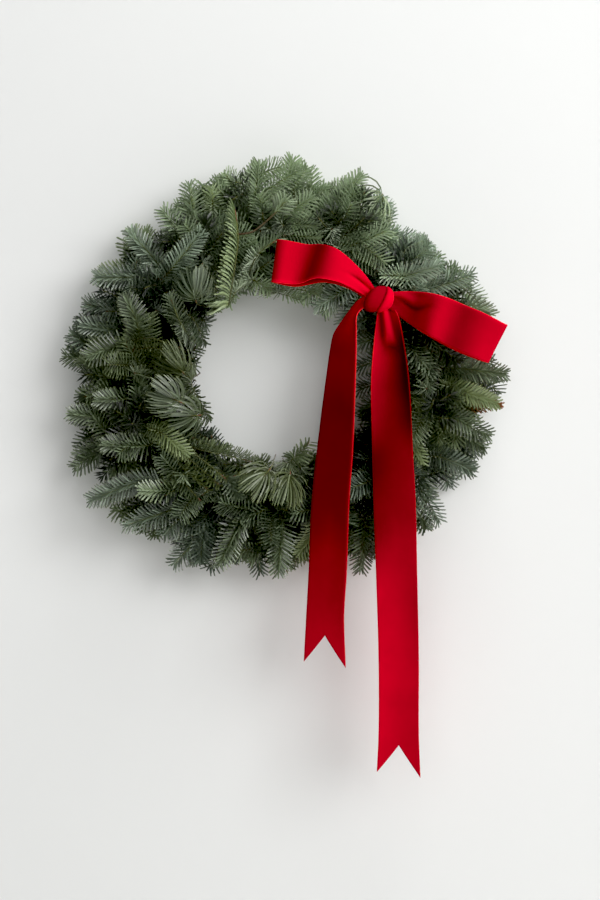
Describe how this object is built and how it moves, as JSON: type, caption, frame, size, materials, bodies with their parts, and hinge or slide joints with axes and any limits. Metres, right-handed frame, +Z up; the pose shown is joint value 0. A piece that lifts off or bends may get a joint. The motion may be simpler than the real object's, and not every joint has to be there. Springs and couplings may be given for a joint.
{
  "type": "fresh evergreen wreath",
  "caption": "Fresh fir wreath: bunches of needled sprigs bound clockwise round a wire ring, with a red velvet bow and long notched tails, hanging from a wire loop.",
  "frame": {"origin": "the top of the hanging loop's eye, where the nail carries the wreath, at the wall's face", "axes": "+Z is up, -Y is towards the viewer, and the wall is just behind the part at about Y = 0"},
  "size_m": [0.587, 0.1439, 0.7766],
  "materials": {
    "fir_green": "fresh needles, mid green, slightly waxy",
    "fir_blue": "fresh needles with a bluish bloom, slightly waxy",
    "red_velvet": "velvet with a thin woven selvedge",
    "green_wire": "enamelled",
    "steel_wire": "drawn wire"
  },
  "bodies": {
    "root": {"wire_ring": "green_wire", "binding_wire": "green_wire", "hanging_loop": "steel_wire", "bow_wire": "steel_wire", "ribbon": "red_velvet", "fir_sprig_outer_01": "fir_green", "fir_sprig_middle_01": "fir_green", "fir_sprig_front_01": "fir_green", "fir_sprig_inner_01": "fir_green", "fir_sprig_outer_02": "fir_blue", "fir_sprig_middle_02": "fir_blue", "fir_sprig_front_02": "fir_blue", "fir_sprig_inner_02": "fir_blue", "fir_sprig_outer_03": "fir_green", "fir_sprig_middle_03": "fir_green", "fir_sprig_front_03": "fir_green", "fir_sprig_inner_03": "fir_green", "fir_sprig_outer_04": "fir_green", "fir_sprig_middle_04": "fir_green", "fir_sprig_front_04": "fir_green", "fir_sprig_inner_04": "fir_green", "fir_sprig_outer_05": "fir_blue", "fir_sprig_middle_05": "fir_blue", "fir_sprig_front_05": "fir_blue", "fir_sprig_inner_05": "fir_blue", "fir_sprig_outer_06": "fir_green", "fir_sprig_middle_06": "fir_green", "fir_sprig_front_06": "fir_green", "fir_sprig_inner_06": "fir_green", "fir_sprig_outer_07": "fir_green", "fir_sprig_middle_07": "fir_green", "fir_sprig_front_07": "fir_green", "fir_sprig_inner_07": "fir_green", "fir_sprig_outer_08": "fir_blue", "fir_sprig_middle_08": "fir_blue", "fir_sprig_front_08": "fir_blue", "fir_sprig_inner_08": "fir_blue", "fir_sprig_outer_09": "fir_green", "fir_sprig_middle_09": "fir_green", "fir_sprig_front_09": "fir_green", "fir_sprig_inner_09": "fir_green", "fir_sprig_outer_10": "fir_green", "fir_sprig_middle_10": "fir_green", "fir_sprig_front_10": "fir_green", "fir_sprig_inner_10": "fir_green", "fir_sprig_outer_11": "fir_blue", "fir_sprig_middle_11": "fir_blue", "fir_sprig_front_11": "fir_blue", "fir_sprig_inner_11": "fir_blue", "fir_sprig_outer_12": "fir_green", "fir_sprig_middle_12": "fir_green", "fir_sprig_front_12": "fir_green", "fir_sprig_inner_12": "fir_green", "fir_sprig_outer_13": "fir_green", "fir_sprig_middle_13": "fir_green", "fir_sprig_front_13": "fir_green", "fir_sprig_inner_13": "fir_green"}
  },
  "joints": []
}
